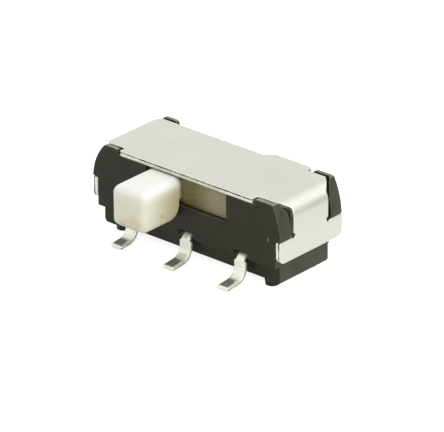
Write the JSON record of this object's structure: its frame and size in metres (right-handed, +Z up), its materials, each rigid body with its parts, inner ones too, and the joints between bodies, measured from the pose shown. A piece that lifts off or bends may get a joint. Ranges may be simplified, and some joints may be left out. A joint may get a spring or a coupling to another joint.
{
  "type": "slide switch",
  "caption": "Surface-mount slide switch with a side knob that joins a centre terminal to one of two outer terminals.",
  "frame": {"origin": "middle of the centre terminal's solder sole, on the board's surface", "axes": "+X along the body and the knob's travel, towards the right end seen from the knob; +Y from the knob towards the rear face; +Z up, away from the board"},
  "size_m": [0.0086, 0.0051, 0.0033],
  "materials": {
    "black_moulding": "fine matt moulding, faintly olive black",
    "tinned_sheet": "satin tin plate on steel sheet",
    "ivory_moulding": "smooth satin moulding, warm ivory",
    "contact_bronze": "bright rolled bronze strip",
    "spring_steel": "bright rolled spring strip",
    "tin_plate": "bright tin plate with a slightly wavy surface"
  },
  "bodies": {
    "housing": {"base_housing": "black_moulding", "cover": "tinned_sheet", "terminal_left": "tin_plate", "terminal_common": "tin_plate", "terminal_right": "tin_plate"},
    "slide": {"slider": "ivory_moulding", "moving_contact": "contact_bronze", "click_spring": "spring_steel"}
  },
  "joints": [
    {"name": "knob_slide", "type": "slide", "parent": "housing", "child": "slide", "axis": [1, 0, 0], "range_m": [0, 0.002], "deforming": ["click_spring"]}
  ]
}
